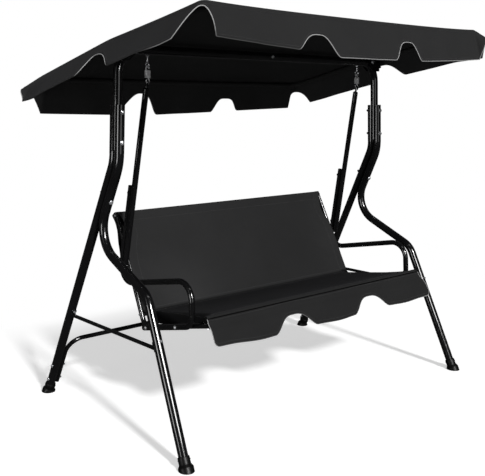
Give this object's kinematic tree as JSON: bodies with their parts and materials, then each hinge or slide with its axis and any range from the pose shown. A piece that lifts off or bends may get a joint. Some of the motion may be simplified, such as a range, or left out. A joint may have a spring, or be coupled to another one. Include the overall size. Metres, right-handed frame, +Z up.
{
  "type": "canopy swing bench",
  "caption": "Free-standing garden swing seat: bent steel tube stand, sprung fabric bench on two hangers, and a tilting fabric canopy with a scalloped edge.",
  "frame": {"origin": "on the floor, under the middle of the overall bounds: midway between the left and right feet and midway front to back", "axes": "+X to the sitter's left as seen from the front (right of the front view), +Y to the rear, +Z up"},
  "size_m": [1.8226, 1.2898, 1.666],
  "materials": {
    "black_paint": "gloss powder coat",
    "black_steel": "satin black",
    "bright_zinc": "bright plated",
    "spring_steel": "bright plated",
    "black_rubber": "matt",
    "black_plastic": "matt",
    "canopy_fabric": "plain-woven coated polyester, light grey bound edge",
    "seat_fabric": "plain-woven coated polyester"
  },
  "bodies": {
    "stand": {"front_leg_left": "black_paint", "front_leg_right": "black_paint", "rear_leg_left": "black_paint", "rear_leg_right": "black_paint", "foot_cap_front_left": "black_rubber", "foot_cap_front_right": "black_rubber", "foot_cap_rear_left": "black_rubber", "foot_cap_rear_right": "black_rubber", "top_bar_left": "black_paint", "top_bar_right": "black_paint", "rear_crossbar": "black_paint", "crossbar_plugs": "black_rubber", "side_brace_left": "black_paint", "side_brace_right": "black_paint", "leg_bolts": "bright_zinc", "leg_nuts": "bright_zinc", "crossbar_bolts": "bright_zinc", "crossbar_nuts": "bright_zinc", "brace_bolts": "bright_zinc", "brace_nuts": "bright_zinc", "bar_joint_bolt": "bright_zinc", "bar_joint_nut": "bright_zinc", "canopy_bracket_left": "black_paint", "canopy_bracket_right": "black_paint", "bracket_bolts": "bright_zinc", "bracket_nuts": "bright_zinc", "tilt_bolts": "bright_zinc", "tilt_knobs": "black_plastic", "eye_bolts": "bright_zinc", "eye_nuts": "bright_zinc"},
    "suspension": {"spring_left": "spring_steel", "spring_right": "spring_steel"},
    "seat": {"hanger_left": "black_paint", "hanger_right": "black_paint", "arm_tube_left": "black_paint", "arm_tube_right": "black_paint", "arm_bolts": "black_steel", "side_frame_left": "black_paint", "side_frame_right": "black_paint", "seat_front_bar": "black_paint", "seat_rear_bar": "black_paint", "back_top_bar": "black_paint", "rail_bolts": "bright_zinc", "rail_nuts": "bright_zinc", "bar_bolts": "bright_zinc", "arm_plugs": "black_rubber", "frame_plugs": "black_rubber", "front_bar_plugs": "black_rubber", "back_sling": "seat_fabric", "seat_sling": "seat_fabric", "seat_valance": "seat_fabric"},
    "canopy": {"canopy_front_hoop": "black_paint", "canopy_rear_hoop": "black_paint", "canopy_joint_left": "black_paint", "canopy_joint_right": "black_paint", "canopy_top": "canopy_fabric", "canopy_valance": "canopy_fabric"}
  },
  "joints": [
    {"name": "swing", "type": "hinge", "parent": "stand", "child": "suspension", "pos_m": [0, -0.01777, 1.481], "axis": [1, 0, 0], "range_deg": [-20, 20]},
    {"name": "bounce", "type": "slide", "parent": "suspension", "child": "seat", "axis": [0, 0, 1], "range_m": [-0.02, 0.005], "stiffness_N_per_m": 12000, "deforming": ["spring_left", "spring_right"]},
    {"name": "canopy_tilt", "type": "hinge", "parent": "stand", "child": "canopy", "pos_m": [0, -0.01777, 1.528], "axis": [1, 0, 0], "range_deg": [-10, 10], "stiffness_Nm_per_rad": 60}
  ]
}
